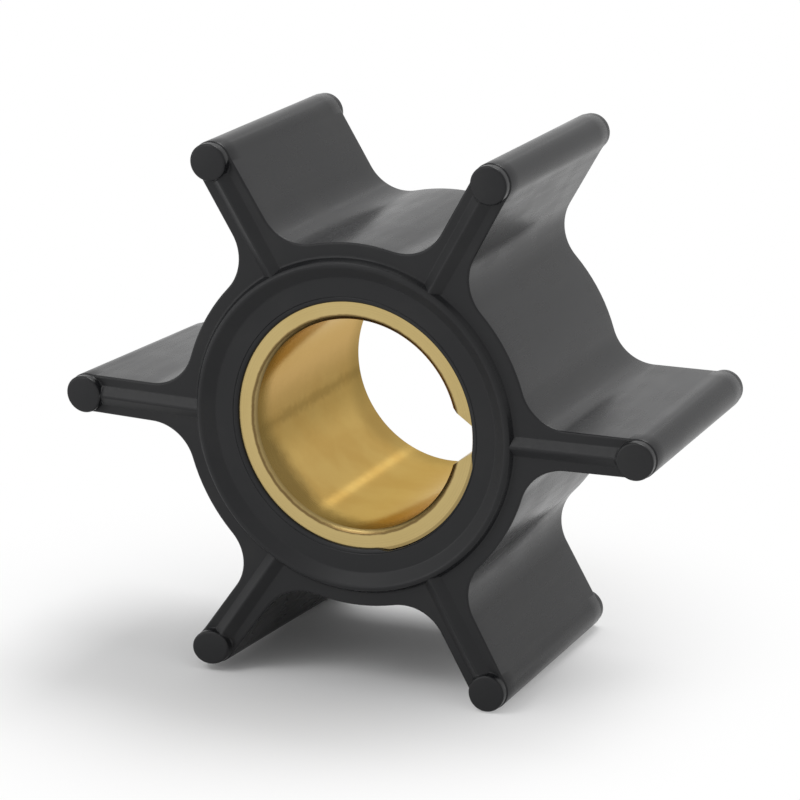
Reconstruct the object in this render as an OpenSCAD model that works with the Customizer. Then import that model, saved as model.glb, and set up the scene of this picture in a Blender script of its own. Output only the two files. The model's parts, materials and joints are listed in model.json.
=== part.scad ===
// Flexible six-vane pump impeller: a rubber moulding bonded round a keyed brass insert.
// It stands on two of its vanes, with the shaft axis along Y and the front side face towards -Y.
// The origin is the centre of the bore, half-way along it. All sizes are in millimetres.

/* [Vanes] */
// Number of vanes round the hub
vane_count = 6; // [5:1:8]
// Diameter over the vane tips, as moulded
tip_d = 64.6; // [60:0.2:72]
// Length of the rubber body along the shaft, between its flat side faces
body_len = 27; // [16:0.5:40]
// Thickness of a vane where its root fillets begin
vane_root_t = 4.1; // [4:0.1:5]
// Thickness of a vane next to its tip bead
vane_tip_t = 4; // [3.2:0.1:4]
// Radius of the fillet between a vane and the hub
root_fillet_r = 4.8; // [3:0.2:5]

/* [Tip beads] */
// Diameter of the bead that wipes the pump housing
bead_d = 4.1; // [4.1:0.1:5]
// Diameter of the stub that stands out of each end of a bead
stub_d = 3.9; // [3.4:0.1:4]
// Height of a stub above the side face
stub_h = 0.95; // [0.6:0.05:1.2]

/* [Hub] */
// Diameter of the rubber hub between the vanes
hub_d = 38; // [37:0.5:40]
// Diameter of the seal ring, along its crest
seal_ring_d = 33.6; // [33:0.1:33.8]
// Diameter at the foot of the seal ring's steep outer flank
seal_outer_d = 35; // [34.8:0.1:36]
// Diameter at the foot of the seal ring's long inner slope
seal_inner_d = 30.8; // [29.8:0.1:31.4]
// Height of the seal ring above the side face
seal_ring_h = 0.85; // [0.65:0.05:1]
// Radius of the seal ring's rounded crest
seal_crest_r = 0.45; // [0.3:0.05:0.5]
// Width at its foot of the rib along the middle of each vane's side face
rib_w = 2.1; // [1.6:0.1:2.4]
// Height of a rib above the side face
rib_h = 0.7; // [0.5:0.05:0.8]
// Radius of a rib's rounded crest
rib_crest_r = 0.3; // [0.15:0.05:0.35]

/* [Brass insert] */
// Bore diameter, the size of the drive shaft
bore_d = 22; // [20:0.1:23]
// Outside diameter of the insert
insert_d = 26.5; // [25.5:0.1:27]
// How far the insert's ends lie behind the rubber's side faces
insert_recess = 0.4; // [0.2:0.1:1]
// Size of the chamfer at each end of the bore
bore_chamfer = 0.4; // [0.2:0.1:0.6]
// Size of the chamfer round the outside of each end
rim_chamfer = 0.4; // [0.2:0.1:0.6]

/* [Key slot] */
// Width of the slot where it opens into the bore
slot_mouth_w = 5.9; // [4:0.1:7]
// Width of the slot where it breaks out against the rubber
slot_root_w = 2.1; // [1:0.1:3]
// Direction of the slot about the shaft, in degrees from the +X vane
slot_angle = 0; // [0:60:300]

/* [Hidden] */
// Segments of the large rounds about the shaft, and of the small ones on the vanes and ridges
$fn = 80;
small_fn = 32;
vane_step = 360 / vane_count;
hub_r = hub_d / 2;
insert_r = insert_d / 2;
bore_r = bore_d / 2;
face_z = body_len / 2;
insert_z = face_z - insert_recess;
bead_r = bead_d / 2;
bead_orbit = tip_d / 2 - bead_r;
root_half = vane_root_t / 2;
tip_half = vane_tip_t / 2;
// A root fillet is a circle that touches the hub and the flank of the vane
fillet_orbit = hub_r + root_fillet_r;
fillet_y = root_half + root_fillet_r;
fillet_x = sqrt(fillet_orbit ^ 2 - fillet_y ^ 2);
fillet_foot = [hub_r * fillet_x / fillet_orbit, hub_r * fillet_y / fillet_orbit];
// Depth by which one solid runs into the next, so that they fuse
overlap = 1;
// Depth by which the seal ring and the ribs are rooted in the side face
ridge_root = 0.3;
// How far a cutter runs past the face that it cuts
clear = 1;

rubber_colour = [0.16, 0.16, 0.17];
brass_colour = [0.78, 0.68, 0.42];

// Places its children at each vane, which lies along +X before it is turned
module at_each_vane() {
    for (k = [0 : vane_count - 1])
        rotate([0, 0, k * vane_step])
            children();
}

// Copies its children, drawn for the front side, onto both side faces
module on_both_faces() {
    children();
    mirror([0, 0, 1])
        children();
}

// Turns a shape built round Z so that the shaft lies along Y, with the front face towards -Y
module shaft_along_y() {
    rotate([90, 0, 0])
        children();
}

// Flanks of one vane, tapering from the root fillets to the tip bead
module vane_web_2d() {
    polygon([
        [hub_r - overlap, -root_half],
        [fillet_x, -root_half],
        [bead_orbit, -tip_half],
        [bead_orbit, tip_half],
        [fillet_x, root_half],
        [hub_r - overlap, root_half]
    ]);
}

// Web of rubber in the corner between hub and vane, hollowed by the fillet's circle
module root_fillet_2d() {
    difference() {
        polygon([
            [hub_r - overlap, 0],
            [fillet_x, 0],
            [fillet_x, root_half],
            [fillet_x, fillet_y],
            fillet_foot,
            fillet_foot * (hub_r - overlap) / hub_r
        ]);
        translate([fillet_x, fillet_y])
            circle(r = root_fillet_r, $fn = 2 * small_fn);
    }
}

// One vane in section: web, both root fillets and the round tip bead
module vane_2d() {
    vane_web_2d();
    root_fillet_2d();
    mirror([0, 1])
        root_fillet_2d();
    translate([bead_orbit, 0])
        circle(d = bead_d, $fn = small_fn);
}

// Top of a flank that runs from its foot into a round crest: side is 1 for a foot left of it, -1 for right.
// It passes a trace inside the tangent, so that flank and crest meet in one clean edge
function flank_top(foot, centre, r, side) =
    let(
        across = centre - foot,
        reach = norm(across),
        inset = 0.99 * r,
        slope = atan2(across[1], across[0]) + side * asin(inset / reach)
    )
    foot + sqrt(reach ^ 2 - inset ^ 2) * [cos(slope), sin(slope)];

// Section of a moulded ridge on the line y = 0: two straight flanks, rooted below it, and a round crest
module ridge_2d(left_foot, crest, right_foot, height, crest_r) {
    centre = [crest, height - crest_r];
    left_top = flank_top([left_foot, 0], centre, crest_r, 1);
    right_top = flank_top([right_foot, 0], centre, crest_r, -1);
    left_run = (left_top[0] - left_foot) / left_top[1];
    right_run = (right_foot - right_top[0]) / right_top[1];
    polygon([
        [left_foot - ridge_root * left_run, -ridge_root],
        [right_foot + ridge_root * right_run, -ridge_root],
        right_top,
        left_top
    ]);
    translate(centre)
        circle(r = crest_r, $fn = small_fn);
}

// Stub that carries a tip bead out past the side face to the wear plate
module tip_stub() {
    translate([bead_orbit, 0, face_z - overlap])
        cylinder(h = overlap + stub_h, d = stub_d, $fn = small_fn);
}

// Roof-shaped rib along the middle of a vane's side face, from inside the seal ring out to the stub
module side_rib() {
    rib_start = (seal_ring_d + seal_crest_r) / 2;
    translate([rib_start, 0, face_z])
        rotate([90, 0, 90])
            linear_extrude(height = bead_orbit - rib_start)
                ridge_2d(-rib_w / 2, 0, rib_w / 2, rib_h, rib_crest_r);
}

// Seal ring round the insert, steep outside and gently sloping inside, where the ribs end
module seal_ring() {
    translate([0, 0, face_z])
        rotate_extrude()
            ridge_2d(seal_inner_d / 2, seal_ring_d / 2, seal_outer_d / 2, seal_ring_h, seal_crest_r);
}

// The rubber moulding: hub, vanes and sealing beads in one piece
module vane_body() {
    color(rubber_colour)
        shaft_along_y()
            difference() {
                union() {
                    translate([0, 0, -face_z])
                        linear_extrude(height = body_len)
                            union() {
                                circle(r = hub_r);
                                at_each_vane()
                                    vane_2d();
                            }
                    on_both_faces() {
                        seal_ring();
                        at_each_vane() {
                            tip_stub();
                            side_rib();
                        }
                    }
                }
                cylinder(h = body_len + 2 * clear, r = insert_r, center = true);
            }
}

// Half section of the insert's wall, chamfered inside and outside at both ends
module insert_wall_2d() {
    polygon([
        [bore_r + bore_chamfer, -insert_z],
        [insert_r - rim_chamfer, -insert_z],
        [insert_r, -insert_z + rim_chamfer],
        [insert_r, insert_z - rim_chamfer],
        [insert_r - rim_chamfer, insert_z],
        [bore_r + bore_chamfer, insert_z],
        [bore_r, insert_z - bore_chamfer],
        [bore_r, -insert_z + bore_chamfer]
    ]);
}

// Tapered key slot, as wide as slot_mouth_w at the bore and slot_root_w at the insert's outside
module key_slot_2d() {
    mouth_x = sqrt(bore_r ^ 2 - slot_mouth_w ^ 2 / 4);
    half_widening = (slot_mouth_w - slot_root_w) / 2 / (insert_r - mouth_x);
    inner_half = slot_mouth_w / 2 + clear * half_widening;
    outer_half = slot_root_w / 2 - clear * half_widening / 2;
    polygon([
        [mouth_x - clear, -inner_half],
        [insert_r + clear / 2, -outer_half],
        [insert_r + clear / 2, outer_half],
        [mouth_x - clear, inner_half]
    ]);
}

// The turned brass insert that the rubber is bonded to, slotted for the drive key
module brass_insert() {
    color(brass_colour)
        shaft_along_y()
            difference() {
                rotate_extrude()
                    insert_wall_2d();
                rotate([0, 0, slot_angle])
                    translate([0, 0, -insert_z - clear])
                        linear_extrude(height = 2 * (insert_z + clear))
                            key_slot_2d();
            }
}

vane_body();
brass_insert();
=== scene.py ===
import json
import math

import bmesh
import bpy
from mathutils import Matrix, Quaternion, Vector


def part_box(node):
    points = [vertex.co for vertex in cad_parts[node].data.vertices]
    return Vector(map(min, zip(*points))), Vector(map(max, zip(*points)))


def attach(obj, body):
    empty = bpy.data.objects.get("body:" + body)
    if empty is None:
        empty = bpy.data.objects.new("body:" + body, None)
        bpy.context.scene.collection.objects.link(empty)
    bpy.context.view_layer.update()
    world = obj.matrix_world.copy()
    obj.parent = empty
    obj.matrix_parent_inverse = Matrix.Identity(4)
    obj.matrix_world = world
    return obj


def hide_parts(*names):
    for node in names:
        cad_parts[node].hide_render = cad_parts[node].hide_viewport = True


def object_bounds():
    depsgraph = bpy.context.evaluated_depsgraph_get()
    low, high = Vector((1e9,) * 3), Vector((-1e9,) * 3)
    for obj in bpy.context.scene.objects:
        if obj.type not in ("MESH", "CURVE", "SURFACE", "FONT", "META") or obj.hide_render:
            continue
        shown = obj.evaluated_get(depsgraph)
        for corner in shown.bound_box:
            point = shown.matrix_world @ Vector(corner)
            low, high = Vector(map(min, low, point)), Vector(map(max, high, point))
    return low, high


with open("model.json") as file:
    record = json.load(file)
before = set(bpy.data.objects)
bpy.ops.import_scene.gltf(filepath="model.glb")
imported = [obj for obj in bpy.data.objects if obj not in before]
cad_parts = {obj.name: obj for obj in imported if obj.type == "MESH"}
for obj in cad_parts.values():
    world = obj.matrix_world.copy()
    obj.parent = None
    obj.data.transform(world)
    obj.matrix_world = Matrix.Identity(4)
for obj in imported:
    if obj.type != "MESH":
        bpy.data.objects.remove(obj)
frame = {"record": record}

# A flexible six-vane pump impeller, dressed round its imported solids.
# The shaft lies along Y, the front side face looks towards -Y, and it stands on two vanes.
# Lengths are in metres, and those given in millimetres are multiplied by MM.
MM = 0.001
CAD_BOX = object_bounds()
BODY_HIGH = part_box("vane_body")[1]
INSERT_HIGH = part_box("brass_insert")[1]
MOUNTS = {mount["name"]: mount for mount in frame["record"]["mounts"]}
FRONT = Vector((0, -1, 0))
# A section that is turned into a round form is drawn in the XY plane, and this axis points out of it
OUT_OF_SECTION = (0, 0, 1)

# Brass insert
INSERT_R = INSERT_HIGH.z
INSERT_END = INSERT_HIGH.y
BORE_R = MOUNTS["shaft_bore"]["dims"]["r_mm"] * MM
CHAMFER = 0.4 * MM
SLOT_MOUTH_HALF = 2.95 * MM
SLOT_ROOT_HALF = 1.05 * MM
# How far the slot's cutter runs past the bore and the insert's ends, and past the insert's outside
CUT_PAST_BORE = 1 * MM
CUT_PAST_OUTSIDE = 0.4 * MM
# Edges sharper than this angle are broken by a fine bevel
ARRIS_ANGLE = math.radians(25)
ARRIS_BEVEL = 0.05 * MM
ARRIS_SEGMENTS = 2

# Hub and vanes: vane 0 lies along +X, and the others follow it counter-clockwise, seen from the front
VANE_COUNT = 6
PITCH = math.tau / VANE_COUNT
STUB_H = 0.95 * MM
FACE = BODY_HIGH.y - STUB_H
HUB_R = 19 * MM
ROOT_HALF = 2.05 * MM
TIP_HALF = 2 * MM
ROOT_FILLET_R = 4.8 * MM
BEAD_R = 2.05 * MM
BEAD_ORBIT = MOUNTS["tip_front_face"]["pos_m"][0]
# Hollow blend from a flank into the bead
BLEND_R = 10 * MM
BLEND_STEPS = 4
# Round along the rims of the side faces
RIM_ROUND = 0.25 * MM
RIM_SEGMENTS = 3
# Steps in which the moulding is drawn along the shaft, so that a vane can lie askew
LENGTH_STEPS = 12
# Some vanes have taken a set: (x, z) in millimetres by which the tip is off its even place, front and rear
VANE_SET = {
    0: ((0, 0.11), (0, 0.11)),
    1: ((-0.25, -0.01), (0, -0.01)),
    2: ((-0.2, -0.16), (-0.11, -0.06)),
    3: ((0, 0.27), (0, -0.78)),
    4: ((-0.94, 0.54), (0.47, 0.01)),
    5: ((-0.28, 0.01), (0, 0.01)),
}
# The set begins at this radius and grows towards the tip by this power of the distance
SET_FROM = 18 * MM
SET_GROWTH = 1.5

# Stubs at the ends of the tip beads
STUB_R = 1.95 * MM
STUB_ROUND = 0.26 * MM
STUB_STEPS = 72
# Fillet at the foot of a stub, on the side towards the hub, where the rib also rises to meet it
STUB_FILLET_R = 0.35 * MM
STUB_FILLET_STEPS = 5

# Seal ring: a moulded ridge with a steep outer flank, a round crest and a long inner slope
RING_CREST = 16.8 * MM
RING_FEET = (17.5 * MM, 15.4 * MM)
RING_H = 0.85 * MM
RING_CREST_R = 0.45 * MM
# Ribs: roof-shaped ridges that start inside the seal ring and end in the stubs, just below their tops
RIB_START = RING_CREST + RING_CREST_R / 2
RIB_FEET = (1.05 * MM, -1.05 * MM)
RIB_H = 0.7 * MM
RIB_CREST_R = 0.3 * MM
RIB_BELOW_STUB = 0.03 * MM
# Fillet at the feet of ring and ribs
FOOT_FILLET_R = 0.3 * MM
# Ribs and stubs rise from a trace below the side face, and are rooted deeper in the body
SUNK = 0.01 * MM
ROOTED = 0.6 * MM

# Circle where the turned middle of the side face joins the face of the vanes
FACE_JOIN_R = 17.8 * MM
# A film of rubber covers the insert's outer chamfer, with a fine crease round it
FILM_ROUND = 0.4 * MM
CREASE_R = 13.4 * MM
CREASE_HALF_W = 0.06 * MM
CREASE_DEPTH = 0.05 * MM
# Between these angles the film is drawn back, and the insert's end face runs out to the rubber.
# The stretch opens as the sine of the way along it, this many times as fast, until it is wholly bare
BARE_STRETCH = (math.radians(-78), math.radians(-8))
BARE_OPENING = 5
# How far outside the insert the film then ends, and how far inside it the end face does
FILM_GAP = 0.02 * MM
END_FACE_GAP = 0.06 * MM

# Fineness of the rounds
HUB_STEPS = 192
ARC_STEP = math.radians(3)
BEAD_STEP = math.radians(6)
FOOT_STEP = 2 * BEAD_STEP
ROUND_STEP = 3 * BEAD_STEP
# Edges up to this angle are shaded smooth, and faces within the other are one flat face
SMOOTH_ANGLE = math.radians(32)
FLAT_ANGLE = math.radians(0.2)
# How much more large faces count than small ones in the shading, where 50 is no more
AREA_WEIGHT = 100
# A face looks along an axis where its normal has more than this share along it
LOOKS_ALONG = math.cos(math.radians(45))
# Points closer than this are one point, and forms are told apart by their place within the other distance
MERGE = 0.0005 * MM
NEAR = 0.1 * MM


def select_only(*pieces):
    bpy.ops.object.select_all(action="DESELECT")
    for piece in pieces:
        piece.select_set(True)
    bpy.context.view_layer.objects.active = pieces[0]


def new_name(piece, name):
    piece.name = name
    piece.data.name = name
    return piece


def pick(kind, test):
    """Selects only the vertices, edges or faces of the piece in edit mode that pass the test."""
    bpy.ops.mesh.select_mode(type=kind)
    bpy.ops.mesh.select_all(action="DESELECT")
    data = bpy.context.object.data
    mesh = bmesh.from_edit_mesh(data)
    for element in {"VERT": mesh.verts, "EDGE": mesh.edges, "FACE": mesh.faces}[kind]:
        if test(element):
            element.select_set(True)
    bmesh.update_edit_mesh(data)


def start_line(name, point):
    """A new piece in edit mode that holds one selected vertex, from which a line is drawn."""
    bpy.ops.object.select_all(action="DESELECT")
    bpy.ops.mesh.primitive_plane_add(size=MM)
    piece = new_name(bpy.context.object, name)
    bpy.ops.object.mode_set(mode="EDIT")
    bpy.ops.mesh.select_mode(type="VERT")
    bpy.ops.mesh.select_all(action="SELECT")
    bpy.ops.mesh.merge(type="CENTER")
    bpy.ops.transform.translate(value=point)
    return piece


def end_point():
    mesh = bmesh.from_edit_mesh(bpy.context.object.data)
    return next(v.co.copy() for v in mesh.verts if v.select)


def line_to(point):
    bpy.ops.mesh.extrude_vertices_move(TRANSFORM_OT_translate={"value": Vector(point) - end_point()})


def arc_round(centre, turn, axis, step=ARC_STEP):
    """Carries the line on by an arc: turn is counter-clockwise for an eye that the axis points at."""
    steps = math.ceil(abs(turn) / step)
    bpy.ops.mesh.spin(steps=steps, angle=-turn, center=centre, axis=axis)


def merge_all():
    bpy.ops.mesh.select_all(action="SELECT")
    bpy.ops.mesh.remove_doubles(threshold=MERGE)


def turn_section(centre=(0, 0, 0), steps=HUB_STEPS):
    """Turns the section in edit mode once round the line along Y through the centre, and welds it."""
    bpy.ops.mesh.select_all(action="SELECT")
    bpy.ops.mesh.spin(steps=steps, angle=math.tau, center=centre, axis=FRONT)
    merge_all()


def face_outwards():
    """Turns every face of the closed piece in edit mode outwards."""
    bpy.ops.mesh.select_all(action="SELECT")
    bpy.ops.mesh.normals_make_consistent(inside=False)
    if bmesh.from_edit_mesh(bpy.context.object.data).calc_volume(signed=True) < 0:
        bpy.ops.mesh.flip_normals()


def polar(radius, angle, depth=0.0):
    """The point at that radius and angle about the shaft, counter-clockwise from +X seen from the front."""
    return Vector((radius * math.cos(angle), depth, radius * math.sin(angle)))


def polar_radius(point):
    return math.hypot(point.x, point.z)


def polar_angle(point):
    return math.atan2(point.z, point.x)


def copy_of(piece, name):
    double = piece.copy()
    double.data = piece.data.copy()
    bpy.context.scene.collection.objects.link(double)
    return new_name(double, name)


def join(pieces):
    select_only(*pieces)
    bpy.ops.object.join()
    return pieces[0]


def cut_or_join(piece, other, operation):
    """Applies a Boolean with the other piece, which is used up."""
    select_only(piece)
    boolean = piece.modifiers.new("boolean", "BOOLEAN")
    boolean.operation = operation
    boolean.solver = "EXACT"
    boolean.object = other
    bpy.ops.object.modifier_apply(modifier=boolean.name)
    bpy.data.objects.remove(other)


def mirror_to_rear(piece):
    select_only(piece)
    mirror = piece.modifiers.new("mirror", "MIRROR")
    mirror.use_axis = (False, True, False)
    mirror.merge_threshold = MERGE
    bpy.ops.object.modifier_apply(modifier=mirror.name)


def finish_surface(piece):
    """Welds the piece, turns its faces outwards and shades its rounds smooth and its flats flat."""
    select_only(piece)
    bpy.ops.object.mode_set(mode="EDIT")
    merge_all()
    bpy.ops.mesh.dissolve_degenerate(threshold=MERGE)
    face_outwards()
    bpy.ops.object.mode_set(mode="OBJECT")
    bpy.ops.object.shade_smooth_by_angle(angle=SMOOTH_ANGLE)
    weighted = piece.modifiers.new("weighted_normals", "WEIGHTED_NORMAL")
    weighted.keep_sharp = True
    weighted.weight = AREA_WEIGHT
    bpy.ops.object.modifier_apply(modifier=weighted.name)


def draw_ridge(place, feet, crest, height, crest_r, axis):
    """Draws a moulded ridge from its first foot over its round crest to its second, with filleted feet.

    place(across, high) is the point at that distance across the ridge and above the side face.
    """
    crest_high = height - crest_r
    slopes = []
    for foot in feet:
        reach = math.hypot(crest - foot, crest_high)
        slopes.append(math.atan2(crest_high, abs(crest - foot)) + math.asin(crest_r / reach))
    first_run, second_run = [FOOT_FILLET_R * math.tan(slope / 2) for slope in slopes]
    first, second = slopes
    line_to(place(feet[0] + first_run, 0))
    arc_round(place(feet[0] + first_run, FOOT_FILLET_R), first, axis, FOOT_STEP)
    line_to(place(crest + crest_r * math.sin(first), crest_high + crest_r * math.cos(first)))
    arc_round(place(crest, crest_high), -first - second, axis, BEAD_STEP)
    line_to(place(feet[1] + second_run * math.cos(second), second_run * math.sin(second)))
    arc_round(place(feet[1] - second_run, FOOT_FILLET_R), second, axis, FOOT_STEP)


def beside_vane(place, vane, side):
    """A point on the front face, on side -1 or 1 of the vane at that angle.

    Its place is given as (back from the bead's centre, off the vane's middle).
    """
    out = BEAD_ORBIT - place.x
    return polar(math.hypot(out, place.y), vane + side * math.atan2(place.y, out), -FACE)


def draw_vane_outline():
    """Draws the outline of hub and vanes on the front face, round the shaft counter-clockwise."""
    # The circle of a root fillet touches the hub and the vane's flank
    fillet_orbit = HUB_R + ROOT_FILLET_R
    foot = math.asin((ROOT_HALF + ROOT_FILLET_R) / fillet_orbit)
    fillet_x = fillet_orbit * math.cos(foot)
    root_r = math.hypot(fillet_x, ROOT_HALF)
    root = math.atan2(ROOT_HALF, fillet_x)
    # The circle of a blend touches the tapering flank and the bead, at places as beside_vane takes them
    taper = math.atan((ROOT_HALF - TIP_HALF) / (BEAD_ORBIT - fillet_x))
    along = Vector((math.cos(taper), math.sin(taper)))
    off = Vector((-math.sin(taper), math.cos(taper)))
    flank_off = TIP_HALF * math.cos(taper)
    run = math.sqrt((BEAD_R + BLEND_R) ** 2 - (flank_off + BLEND_R) ** 2)
    blend_turn = math.atan2(run, flank_off + BLEND_R)
    blend_start = off * flank_off + along * run
    blend_centre = blend_start + off * BLEND_R
    bead_turn = math.tau - 2 * math.atan2(blend_centre.y, blend_centre.x)

    start_line("rubber_vane_body", polar(HUB_R, foot, -FACE))
    for k in range(1, VANE_COUNT + 1):
        vane = k * PITCH
        arc_round((0, 0, 0), PITCH - 2 * foot, FRONT)
        arc_round(polar(fillet_orbit, vane - foot, -FACE), foot - math.pi / 2, FRONT)
        line_to(beside_vane(blend_start, vane, -1))
        arc_round(beside_vane(blend_centre, vane, -1), -blend_turn, FRONT, blend_turn / BLEND_STEPS)
        arc_round(polar(BEAD_ORBIT, vane, -FACE), bead_turn, FRONT, BEAD_STEP)
        arc_round(beside_vane(blend_centre, vane, 1), -blend_turn, FRONT, blend_turn / BLEND_STEPS)
        line_to(polar(root_r, vane + root, -FACE))
        arc_round(polar(fillet_orbit, vane + foot, -FACE), foot - math.pi / 2, FRONT)
    merge_all()


def is_side_face(face):
    """True for a face that looks along the shaft, false for one that looks round it."""
    return abs(face.normal.y) > LOOKS_ALONG


def is_rim(edge):
    """True for an edge between a side face and a wall."""
    return len(edge.link_faces) == 2 and len({is_side_face(f) for f in edge.link_faces}) == 2


def make_vane_star():
    """Hub and vanes as one slab with rounded rims, open in the middle where the hub's section goes."""
    draw_vane_outline()
    bpy.ops.mesh.primitive_circle_add(
        vertices=HUB_STEPS, radius=FACE_JOIN_R, location=(0, -FACE, 0), rotation=(math.pi / 2, 0, 0)
    )
    bpy.ops.mesh.select_all(action="SELECT")
    bpy.ops.mesh.fill(use_beauty=True)
    bpy.ops.mesh.dissolve_limited(angle_limit=FLAT_ANGLE)
    for _ in range(LENGTH_STEPS):
        bpy.ops.mesh.extrude_region_move(TRANSFORM_OT_translate={"value": (0, 2 * FACE / LENGTH_STEPS, 0)})
    bpy.ops.mesh.select_all(action="SELECT")
    bpy.ops.mesh.normals_make_consistent(inside=False)
    # The hub's middle closes the hole, so the hole has no wall of its own
    inner = FACE_JOIN_R + NEAR
    pick("FACE", lambda f: not is_side_face(f) and polar_radius(f.calc_center_median()) < inner)
    bpy.ops.mesh.delete(type="FACE")
    pick("EDGE", is_rim)
    bpy.ops.mesh.bevel(offset=RIM_ROUND, segments=RIM_SEGMENTS, affect="EDGES")
    bpy.ops.object.mode_set(mode="OBJECT")
    return bpy.context.object


def carry_out(piece, to_radius, test):
    """Carries the piece's points that pass the test out to that radius, along the bare stretch only."""
    start, end = BARE_STRETCH
    for vertex in piece.data.vertices:
        angle = polar_angle(vertex.co)
        if start < angle < end and test(vertex.co):
            share = min(1, BARE_OPENING * math.sin(math.pi * (angle - start) / (end - start)))
            vertex.co += polar(share * (to_radius - polar_radius(vertex.co)), angle)


def make_hub_middle():
    """Middle of the hub: seal ring, annulus and the wall round the insert, turned and mirrored."""
    piece = start_line("hub_middle", (FACE_JOIN_R, -FACE, 0))

    def place(across, high):
        return across, -FACE - high, 0

    draw_ridge(place, RING_FEET, RING_CREST, RING_H, RING_CREST_R, OUT_OF_SECTION)
    for across, deep in ((CREASE_HALF_W, 0), (0, CREASE_DEPTH), (-CREASE_HALF_W, 0)):
        line_to((CREASE_R + across, -FACE + deep, 0))
    film_start = INSERT_R - CHAMFER + FILM_ROUND
    line_to((film_start, -FACE, 0))
    arc_round((film_start, -FACE + FILM_ROUND, 0), -math.pi / 2, OUT_OF_SECTION, ROUND_STEP)
    line_to((INSERT_R, -FACE + FILM_ROUND + CHAMFER, 0))
    line_to((INSERT_R, 0, 0))
    turn_section()
    bpy.ops.object.mode_set(mode="OBJECT")
    film_end = INSERT_R + FILM_GAP
    carry_out(piece, film_end, lambda point: polar_radius(point) < film_end)
    mirror_to_rear(piece)
    return piece


def stub_fillet_turn(step):
    """Angle that the fillet at a stub's foot has turned through after that many of its steps."""
    return step / STUB_FILLET_STEPS * math.pi / 2


def make_rib():
    """Rib of the vane along +X, from inside the seal ring out into the stub, which it rises to meet."""
    piece = start_line("rib", (RIB_START, -FACE + ROOTED, RIB_FEET[0]))

    def place(across, high):
        return RIB_START, -FACE + SUNK - high, across

    towards_shaft = (-1, 0, 0)
    draw_ridge(place, RIB_FEET, 0, RIB_H, RIB_CREST_R, towards_shaft)
    line_to((RIB_START, -FACE + ROOTED, RIB_FEET[1]))
    merge_all()
    bpy.ops.mesh.edge_face_add()
    rise_start = BEAD_ORBIT - STUB_R - STUB_FILLET_R
    bpy.ops.mesh.extrude_region_move(TRANSFORM_OT_translate={"value": (rise_start - RIB_START, 0, 0)})
    rise = (STUB_H - RIB_BELOW_STUB) / RIB_H - 1
    reached, grown = 0.0, 1.0
    for step in range(1, STUB_FILLET_STEPS + 1):
        turn = stub_fillet_turn(step)
        along = STUB_FILLET_R * math.sin(turn)
        height = 1 + rise * (1 - math.cos(turn))
        bpy.ops.mesh.extrude_region_move(TRANSFORM_OT_translate={"value": (along - reached, 0, 0)})
        bpy.ops.transform.resize(value=(1, height / grown, 1), center_override=(0, -FACE, 0))
        reached, grown = along, height
    bpy.ops.mesh.extrude_region_move(TRANSFORM_OT_translate={"value": (STUB_R, 0, 0)})
    face_outwards()
    bpy.ops.object.mode_set(mode="OBJECT")
    return piece


def make_stub():
    """Stub on the tip bead of the vane along +X: round top edge, and a fillet at its foot towards the hub."""
    top = -FACE - STUB_H
    round_start = BEAD_ORBIT + STUB_R - STUB_ROUND
    piece = start_line("stub", (BEAD_ORBIT, top, 0))
    line_to((round_start, top, 0))
    arc_round((round_start, top + STUB_ROUND, 0), math.pi / 2, OUT_OF_SECTION, ROUND_STEP)
    flares = {}
    for step in range(STUB_FILLET_STEPS + 1):
        turn = stub_fillet_turn(step)
        y = -FACE + SUNK - STUB_FILLET_R * (1 - math.sin(turn))
        line_to((BEAD_ORBIT + STUB_R, y, 0))
        flares[y] = 1 + STUB_FILLET_R * (1 - math.cos(turn)) / STUB_R
    line_to((BEAD_ORBIT + STUB_R, -FACE + ROOTED, 0))
    line_to((BEAD_ORBIT, -FACE + ROOTED, 0))
    turn_section((BEAD_ORBIT, 0, 0), STUB_STEPS)
    flares[-FACE + ROOTED] = max(flares.values())
    for y, flare in flares.items():
        pick("VERT", lambda v: abs(v.co.y - y) < MERGE and v.co.x < BEAD_ORBIT)
        bpy.ops.transform.resize(value=(flare, 1, 1), center_override=(BEAD_ORBIT, 0, 0))
    face_outwards()
    bpy.ops.object.mode_set(mode="OBJECT")
    return piece


def set_vanes_askew(body):
    """Moves the vanes that have taken a set, more and more towards the tip."""
    for vertex in body.data.vertices:
        vane = round(polar_angle(vertex.co) / PITCH) % VANE_COUNT
        beyond = vertex.co.dot(polar(1, vane * PITCH)) - SET_FROM
        if beyond <= 0:
            continue
        front, rear = [Vector((x, 0, z)) * MM for x, z in VANE_SET[vane]]
        growth = (beyond / (BEAD_ORBIT - SET_FROM)) ** SET_GROWTH
        vertex.co += front.lerp(rear, (vertex.co.y + FACE) / (2 * FACE)) * growth


def make_vane_body():
    """The whole rubber moulding."""
    body = join([make_vane_star(), make_hub_middle()])
    bpy.ops.object.mode_set(mode="EDIT")
    merge_all()
    face_outwards()
    bpy.ops.object.mode_set(mode="OBJECT")
    rib = make_rib()
    cut_or_join(rib, make_stub(), "UNION")
    bars = []
    for k in range(VANE_COUNT):
        bar = copy_of(rib, f"rib_{k}")
        bar.data.transform(Matrix.Rotation(-k * PITCH, 4, "Y"))
        bars.append(bar)
    bpy.data.objects.remove(rib)
    front_bars = join(bars)
    mirror_to_rear(front_bars)
    cut_or_join(body, front_bars, "UNION")
    set_vanes_askew(body)
    finish_surface(body)
    return body


def is_outer_end_edge(point):
    """True for a point of the insert where its front end face meets its outer chamfer."""
    return abs(point.y + INSERT_END) < NEAR and polar_radius(point) > INSERT_R - CHAMFER - NEAR


def is_brass_arris(edge):
    return len(edge.link_faces) == 2 and edge.calc_face_angle(0) > ARRIS_ANGLE


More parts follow.
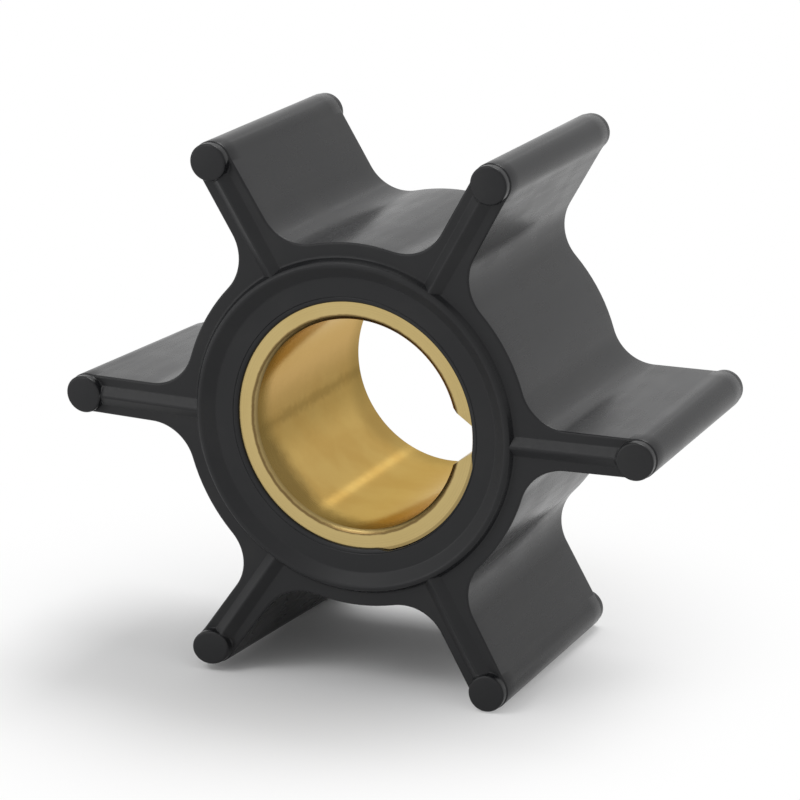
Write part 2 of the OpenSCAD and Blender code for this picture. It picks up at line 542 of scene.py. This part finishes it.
def make_slot_cutter():
    """Wedge that cuts the key slot: wide at the bore, narrow at the insert's outside."""
    mouth_x = math.sqrt(BORE_R ** 2 - SLOT_MOUTH_HALF ** 2)
    slope = (SLOT_MOUTH_HALF - SLOT_ROOT_HALF) / (INSERT_R - mouth_x)
    inside = mouth_x - CUT_PAST_BORE
    outside = INSERT_R + CUT_PAST_OUTSIDE
    inside_half = SLOT_MOUTH_HALF + slope * CUT_PAST_BORE
    outside_half = SLOT_ROOT_HALF - slope * CUT_PAST_OUTSIDE
    bpy.ops.object.select_all(action="DESELECT")
    bpy.ops.mesh.primitive_cube_add(
        size=1, location=((inside + outside) / 2, 0, 0),
        scale=(outside - inside, 2 * (INSERT_END + CUT_PAST_BORE), 2 * inside_half)
    )
    cutter = new_name(bpy.context.object, "slot_cutter")
    bpy.ops.object.transform_apply(location=True, rotation=True, scale=True)
    bpy.ops.object.mode_set(mode="EDIT")
    pick("FACE", lambda f: f.normal.x > LOOKS_ALONG)
    bpy.ops.transform.resize(value=(1, 1, outside_half / inside_half))
    bpy.ops.object.mode_set(mode="OBJECT")
    return cutter


def make_brass_insert():
    """The turned insert with chamfered ends and a key slot cut through its wall."""
    piece = start_line("keyed_brass_insert", (BORE_R, 0, 0))
    line_to((BORE_R, -INSERT_END + CHAMFER, 0))
    line_to((BORE_R + CHAMFER, -INSERT_END, 0))
    line_to((INSERT_R - CHAMFER, -INSERT_END, 0))
    line_to((INSERT_R, -INSERT_END + CHAMFER, 0))
    line_to((INSERT_R, 0, 0))
    turn_section()
    bpy.ops.object.mode_set(mode="OBJECT")
    carry_out(piece, INSERT_R - END_FACE_GAP, is_outer_end_edge)
    mirror_to_rear(piece)
    select_only(piece)
    bpy.ops.object.mode_set(mode="EDIT")
    face_outwards()
    bpy.ops.object.mode_set(mode="OBJECT")
    cut_or_join(piece, make_slot_cutter(), "DIFFERENCE")
    select_only(piece)
    bpy.ops.object.mode_set(mode="EDIT")
    merge_all()
    pick("EDGE", is_brass_arris)
    bpy.ops.mesh.bevel(offset=ARRIS_BEVEL, segments=ARRIS_SEGMENTS, affect="EDGES", clamp_overlap=True)
    bpy.ops.object.mode_set(mode="OBJECT")
    finish_surface(piece)
    return piece


body = make_vane_body()
insert = make_brass_insert()
for piece, node, slot in ((body, "vane_body", "black_rubber"), (insert, "brass_insert", "turned_brass")):
    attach(piece, "root")
    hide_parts(node)

# Finishes. A name that holds two spans, ((from, to), (from, to)), is a ramp from the first to the second

# Most values of a noise lie in this span, and nearly all in the wide one
NOISE_SPAN = (0.3, 0.7)
WIDE_SPAN = (0.2, 0.8)
# Share of a normal along the shaft, from a flank to a side face
SIDE_FACE_SPAN = (0.55, 0.95)

# Rubber: dark flanks, paler side faces and a pale bloom that lies on both in clouds
RUBBER_FLANK = (0.0098, 0.0101, 0.0112)
RUBBER_SIDE = (0.0145, 0.0148, 0.0158)
RUBBER_BLOOM = (0.02, 0.02, 0.0205)
BLOOM_SIZE = 6 * MM
BLOOM_SPAN = (0.45, 0.75)
BLOOM_ON_GRAIN = (0.4, 0.8)
RUBBER_GLOSS = 0.21
FLANK_ROUGHNESS = (0.25, 0.29)
BLOOM_ROUGHNESS = (-0.03, 0.03)
SIDE_ROUGHNESS = (0.37, 0.47)
# Lines drawn along the shaft on the flanks, the finer grain, and the depth of both
DRAWN_SIZE = 0.9 * MM
DRAWN_STRETCH = (1, 12, 1)
GRAIN_SIZE = 0.22 * MM
RUBBER_RELIEF = 0.003 * MM

# Brass: end faces clouded from pale to golden, with fine lathe marks, browner towards the outer edge
BRASS_PALE = (0.54, 0.42, 0.19)
BRASS_FACE = (0.49, 0.37, 0.15)
BRASS_BROWN = (0.13, 0.08, 0.03)
BRASS_EDGE_TINT = (0.92, 0.78, 0.5)
BRASS_ROUGHNESS = (0.14, 0.21)
CLOUD_SIZE = 5 * MM
LATHE_SIZE = 0.09 * MM
LATHE_RELIEF = 0.0012 * MM
LATHE_BROWN = (0.0, 0.12)
OUTER_BROWN = ((INSERT_R - CHAMFER - 0.05 * MM, INSERT_R - CHAMFER + 0.1 * MM), (0.0, 0.5))
# Bore: golden with clouds of tarnish, and rosier with height as a painted reflection
BRASS_BORE = (0.49, 0.335, 0.116)
BRASS_TARNISH = (0.43, 0.27, 0.085)
BRASS_ROSE_REFLECTION = (0.47, 0.315, 0.15)
TARNISH = ((0.35, 0.7), (0.0, 0.7))
ROSE_REFLECTION_SPAN = (-4 * MM, 3 * MM)
# The edges of the painted dark band, the darker end zones and the burr are ragged at this size
RAGGED_SIZE = 1.2 * MM
# A painted reflection, a dark brown band, runs along the bore this far below the -X side: core and halo over
# the angle off it
DARK_REFLECTION_ANGLE = math.radians(10)
DARK_REFLECTION_CORE = ((0.0, 0.09), (0.25, 0.0))
DARK_REFLECTION_HALO = ((0.05, 0.45), (0.4, 0.0))
DARK_REFLECTION_RAGGED = 0.03
# The bore darkens and roughens towards its ends, less at the rear, and further in near this angle below the
# -X side
BRASS_DULL_AND_SHADE = (0.14, 0.1, 0.04)
DULL_TO_END = ((INSERT_END - 4.2 * MM, INSERT_END - 0.6 * MM), (0.0, 0.8))
DULL_TO_REAR = ((-6 * MM, 6 * MM), (1.0, 0.45))
# Painted shade: the darkening reaches further in near this angle
SHADIEST_ANGLE = math.radians(38)
SHADE_FURTHER = ((0.1, 0.6), (1.6 * MM, 0.0))
DULL_RAGGED = 0.35 * MM
DULL_ROUGHNESS = 0.15
# A brown burr line runs round the bore where its chamfer meets the end face
BURR_LINE = ((0.05 * MM, 0.2 * MM), (0.85, 0.0))
BURR_RAGGED = 0.05 * MM
BURR_AT_END = (INSERT_END - CHAMFER - 0.05 * MM, INSERT_END - CHAMFER + 0.1 * MM)


def feed(tree, kind, sockets, settings=None, take=0):
    """Adds a node, feeds its sockets with values or other nodes' outputs, and returns an output."""
    node = tree.nodes.new(kind)
    for name, value in (settings or {}).items():
        setattr(node, name, value)
    for name, value in sockets.items():
        if isinstance(value, bpy.types.NodeSocket):
            tree.links.new(value, node.inputs[name])
        else:
            node.inputs[name].default_value = value
    return node.outputs[take]


def start_material(name, **sockets):
    material = bpy.data.materials.new(name)
    material.use_nodes = True
    tree = material.node_tree
    shader = tree.nodes["Principled BSDF"]
    for socket, value in sockets.items():
        shader.inputs[socket.replace("_", " ")].default_value = value
    return material, tree, shader


def object_place(tree):
    return feed(tree, "ShaderNodeTexCoord", {}, take="Object")


def noise(tree, place, size, detail=2.0, stretch=(1, 1, 1), roughness=0.5):
    """Noise whose blotches are about as large as size, drawn out where stretch is over 1."""
    scale = [1 / (size * s) for s in stretch]
    mapped = feed(tree, "ShaderNodeMapping", {"Vector": place, "Scale": scale})
    sockets = {"Vector": mapped, "Scale": 1, "Detail": detail, "Roughness": roughness}
    return feed(tree, "ShaderNodeTexNoise", sockets)


def ramp(tree, value, span, result=(0.0, 1.0)):
    """Maps the value from its span to the result's, smoothly, and holds the ends."""
    sockets = {"Value": value, 1: span[0], 2: span[1], 3: result[0], 4: result[1]}
    return feed(tree, "ShaderNodeMapRange", sockets, {"interpolation_type": "SMOOTHSTEP"})


def maths(tree, operation, *values):
    return feed(tree, "ShaderNodeMath", dict(enumerate(values)), {"operation": operation})


def distance_from(tree, value, middle):
    return maths(tree, "ABSOLUTE", maths(tree, "SUBTRACT", value, middle))


def roughened(tree, value, ragged, reach):
    """The value, moved up or down by as much as the reach by a ragged noise."""
    return maths(tree, "ADD", value, ramp(tree, ragged, WIDE_SPAN, (-reach, reach)))


def mix_numbers(tree, factor, a, b):
    return feed(tree, "ShaderNodeMix", {"Factor": factor, "A": a, "B": b})


def mix_colours(tree, factor, a, b):
    """Mixes two colours, each given as a node's output or as red, green and blue."""
    node = tree.nodes.new("ShaderNodeMix")
    node.data_type = "RGBA"
    tree.links.new(factor, node.inputs[0])
    for colour, socket in ((a, node.inputs[6]), (b, node.inputs[7])):
        if isinstance(colour, bpy.types.NodeSocket):
            tree.links.new(colour, socket)
        else:
            socket.default_value = (*colour, 1)
    return node.outputs[2]


def relief(tree, height, depth, **sockets):
    """Bump of that depth. Another bump's output may be given as Normal."""
    return feed(tree, "ShaderNodeBump", {"Strength": 1.0, "Distance": depth, "Height": height, **sockets})


def side_face_mask(tree):
    """1 on faces that look along the shaft, 0 on the flanks round it."""
    normal = feed(tree, "ShaderNodeTexCoord", {}, take="Normal")
    across = feed(tree, "ShaderNodeSeparateXYZ", {"Vector": normal}, take="Y")
    return ramp(tree, maths(tree, "ABSOLUTE", across), SIDE_FACE_SPAN)


def black_rubber():
    """Moulded rubber: satin, faintly drawn flanks and matt, grained side faces."""
    material, tree, shader = start_material("black_rubber", Specular_IOR_Level=RUBBER_GLOSS)
    place = object_place(tree)
    side = side_face_mask(tree)
    clouds = noise(tree, place, BLOOM_SIZE, detail=3)
    streaks = noise(tree, place, DRAWN_SIZE, detail=2, stretch=DRAWN_STRETCH)
    grain = noise(tree, place, GRAIN_SIZE, detail=3)

    base = mix_colours(tree, side, RUBBER_FLANK, RUBBER_SIDE)
    on_grain = ramp(tree, grain, NOISE_SPAN, BLOOM_ON_GRAIN)
    bloom = maths(tree, "MULTIPLY", ramp(tree, clouds, BLOOM_SPAN), on_grain)
    tree.links.new(mix_colours(tree, bloom, base, RUBBER_BLOOM), shader.inputs["Base Color"])

    drawn = ramp(tree, streaks, NOISE_SPAN, FLANK_ROUGHNESS)
    flank = maths(tree, "ADD", drawn, ramp(tree, clouds, NOISE_SPAN, BLOOM_ROUGHNESS))
    grained = ramp(tree, grain, NOISE_SPAN, SIDE_ROUGHNESS)
    tree.links.new(mix_numbers(tree, side, flank, grained), shader.inputs["Roughness"])

    drawn_relief = relief(tree, streaks, RUBBER_RELIEF)
    tree.links.new(relief(tree, grain, RUBBER_RELIEF, Normal=drawn_relief), shader.inputs["Normal"])
    return material


def brass_end_colour(tree, radius, clouds, lathe):
    """Colour of the insert's end faces."""
    colour = mix_colours(tree, clouds, BRASS_PALE, BRASS_FACE)
    colour = mix_colours(tree, ramp(tree, radius, *OUTER_BROWN), colour, BRASS_BROWN)
    return mix_colours(tree, ramp(tree, lathe, NOISE_SPAN, LATHE_BROWN), colour, BRASS_BROWN)


def brass_bore_colour(tree, height, round_left, clouds, ragged):
    """Colour of the bore before its ends are darkened, with painted reflections: rosier with height and a
    dark band.
    """
    golden = mix_colours(tree, ramp(tree, clouds, *TARNISH), BRASS_BORE, BRASS_TARNISH)
    # Painted reflection: rosier towards the top of the bore
    colour = mix_colours(tree, ramp(tree, height, ROSE_REFLECTION_SPAN), golden, BRASS_ROSE_REFLECTION)
    # Painted reflection: a dark brown band along the bore below the -X side
    off_dark_reflection = roughened(tree, distance_from(tree, round_left, DARK_REFLECTION_ANGLE), ragged, DARK_REFLECTION_RAGGED)
    core, halo = ramp(tree, off_dark_reflection, *DARK_REFLECTION_CORE), ramp(tree, off_dark_reflection, *DARK_REFLECTION_HALO)
    return mix_colours(tree, maths(tree, "ADD", core, halo), colour, BRASS_BROWN)


def brass_dullness_and_shade(tree, along, end, round_left, ragged):
    """Share by which the bore is darkened and roughened, from its middle towards both ends, and further in
    low on the -X side as painted shade.
    """
    # Painted shade: the darkening reaches further in near this angle below the -X side
    off_shadiest = distance_from(tree, round_left, SHADIEST_ANGLE)
    reach = roughened(tree, end, ragged, DULL_RAGGED)
    reach = maths(tree, "ADD", reach, ramp(tree, off_shadiest, *SHADE_FURTHER))
    return maths(tree, "MULTIPLY", ramp(tree, reach, *DULL_TO_END), ramp(tree, along, *DULL_TO_REAR))


def turned_brass():
    """Turned brass: pale end faces, a browner bore with painted reflections, darker and rougher near its ends
    with painted shade, and a brown burr between.
    """
    edge_tint = (*BRASS_EDGE_TINT, 1)
    material, tree, shader = start_material("turned_brass", Metallic=1.0, Specular_Tint=edge_tint)
    place = object_place(tree)
    x, y, z = [feed(tree, "ShaderNodeSeparateXYZ", {"Vector": place}, take=axis) for axis in "XYZ"]
    off_shaft = feed(tree, "ShaderNodeCombineXYZ", {"X": x, "Y": z})
    radius = feed(tree, "ShaderNodeVectorMath", {0: off_shaft}, {"operation": "LENGTH"}, take="Value")
    end = maths(tree, "ABSOLUTE", y)
    # Angle below the -X side, which is on the left for an eye in front
    down, left = maths(tree, "MULTIPLY", z, -1.0), maths(tree, "MULTIPLY", x, -1.0)
    round_left = maths(tree, "ARCTAN2", down, left)
    clouds = noise(tree, place, CLOUD_SIZE, detail=3)
    ragged = noise(tree, place, RAGGED_SIZE, detail=4, roughness=0.7)
    turning = feed(tree, "ShaderNodeCombineXYZ", {"X": radius, "Y": y})
    lathe = noise(tree, turning, LATHE_SIZE, detail=2)

    dull_and_shade = brass_dullness_and_shade(tree, y, end, round_left, ragged)
    bore_colour = brass_bore_colour(tree, z, round_left, clouds, ragged)
    # Darker towards the ends, with painted shade low on the -X side
    bore_colour = mix_colours(tree, dull_and_shade, bore_colour, BRASS_DULL_AND_SHADE)
    end_colour = brass_end_colour(tree, radius, clouds, lathe)
    colour = mix_colours(tree, side_face_mask(tree), bore_colour, end_colour)
    off_burr = distance_from(tree, roughened(tree, radius, ragged, BURR_RAGGED), BORE_R + CHAMFER)
    burr = maths(tree, "MULTIPLY", ramp(tree, off_burr, *BURR_LINE), ramp(tree, end, BURR_AT_END))
    tree.links.new(mix_colours(tree, burr, colour, BRASS_BROWN), shader.inputs["Base Color"])

    roughness = ramp(tree, lathe, NOISE_SPAN, BRASS_ROUGHNESS)
    roughness = maths(tree, "ADD", roughness, maths(tree, "MULTIPLY", dull_and_shade, DULL_ROUGHNESS))
    tree.links.new(roughness, shader.inputs["Roughness"])
    tree.links.new(relief(tree, lathe, LATHE_RELIEF), shader.inputs["Normal"])
    return material


for piece, finish in ((body, black_rubber()), (insert, turned_brass())):
    piece.data.materials.clear()
    piece.data.materials.append(finish)

# Floor, light and camera
FLOOR_SIZE = 6
FLOOR_COLOUR = (0.92, 0.92, 0.92, 1)
FLOOR_ROUGHNESS = 0.9
WHITE = (1, 1, 1, 1)
# Round this spot the floor is lit and takes the object's shadow, and it fades to plain white over this span
SHADOW_SPOT = (-16 * MM, 0, 0)
FADE_SPAN = (18 * MM, 62 * MM)
# Strength of the world as a light, where 1 is the white that is seen
SOFT_LIGHT = 0.6
# Soft boxes that look at the object: place and side in metres, power in watts
SOFT_BOXES = {
    "top_box": ((0.1, 0.48, 0.9), 0.5, 4.5),
    "key_box": ((-0.38, -0.5, 0.78), 0.4, 1.7),
    "left_box": ((-0.4, -0.45, 0.12), 0.3, 0.7),
    "rear_strip": ((-0.02, 0.87, 0.48), 0.08, 0.02),
}
# Camera, fitted to the photograph: its place, direction and roll, then lens and film width in millimetres
CAMERA_PLACE = (130.73 * MM, -305.23 * MM, 95 * MM)
CAMERA_LOOK = (-0.37983, 0.88256, -0.27716)
CAMERA_ROLL = math.radians(-0.21)
LENS = 149.14
FILM_WIDTH = 36
# Distances between which the camera sees, in metres
NEAREST, FURTHEST = 0.01, 20


def seen_or_mirrored(tree):
    """1 for a ray that comes from the camera, a mirror or a pane, 0 for one that gathers soft light."""
    path = tree.nodes.new("ShaderNodeLightPath")
    seen = path.outputs["Is Camera Ray"]
    for kind in ("Is Glossy Ray", "Is Transmission Ray"):
        seen = maths(tree, "MAXIMUM", seen, path.outputs[kind])
    return seen


def pale_floor():
    bpy.ops.object.select_all(action="DESELECT")
    bpy.ops.mesh.primitive_plane_add(size=FLOOR_SIZE, location=(0, 0, CAD_BOX[0].z))
    floor = new_name(bpy.context.object, "floor")
    material, tree, shader = start_material("pale_floor", Base_Color=FLOOR_COLOUR, Roughness=FLOOR_ROUGHNESS)
    ends = {0: object_place(tree), 1: SHADOW_SPOT}
    distance = feed(tree, "ShaderNodeVectorMath", ends, {"operation": "DISTANCE"}, take="Value")
    share = maths(tree, "MULTIPLY", ramp(tree, distance, FADE_SPAN), seen_or_mirrored(tree))
    plain_white = feed(tree, "ShaderNodeEmission", {"Color": WHITE, "Strength": 1.0})
    blend = feed(tree, "ShaderNodeMixShader", {0: share, 1: shader.outputs[0], 2: plain_white})
    tree.links.new(blend, tree.nodes["Material Output"].inputs["Surface"])
    floor.data.materials.append(material)


def soft_box(name, place, size, power):
    """A square lamp that looks at the object."""
    lamp = bpy.data.lights.new(name, "AREA")
    lamp.shape = "SQUARE"
    lamp.size = size
    lamp.energy = power
    lamp_object = bpy.data.objects.new(name, lamp)
    lamp_object.location = place
    lamp_object.rotation_mode = "QUATERNION"
    lamp_object.rotation_quaternion = (-Vector(place)).to_track_quat("-Z", "Y")
    bpy.context.scene.collection.objects.link(lamp_object)


def studio_world():
    """A plain white studio: white where it is seen or mirrored, and a little dimmer as a light."""
    world = bpy.data.worlds.new("studio")
    world.use_nodes = True
    tree = world.node_tree
    background = tree.nodes["Background"]
    background.inputs["Color"].default_value = WHITE
    strength = mix_numbers(tree, seen_or_mirrored(tree), SOFT_LIGHT, 1.0)
    tree.links.new(strength, background.inputs["Strength"])
    bpy.context.scene.world = world


def photo_camera():
    camera = bpy.data.objects.new("camera", bpy.data.cameras.new("camera"))
    bpy.context.scene.collection.objects.link(camera)
    camera.location = CAMERA_PLACE
    camera.rotation_mode = "QUATERNION"
    roll = Quaternion((0, 0, 1), CAMERA_ROLL)
    camera.rotation_quaternion = Vector(CAMERA_LOOK).to_track_quat("-Z", "Y") @ roll
    camera.data.sensor_width = FILM_WIDTH
    camera.data.lens = LENS
    camera.data.clip_start = NEAREST
    camera.data.clip_end = FURTHEST
    bpy.context.scene.camera = camera


pale_floor()
studio_world()
for name, (place, size, power) in SOFT_BOXES.items():
    soft_box(name, place, size, power)
photo_camera()
bpy.context.scene.view_settings.view_transform = "Standard"
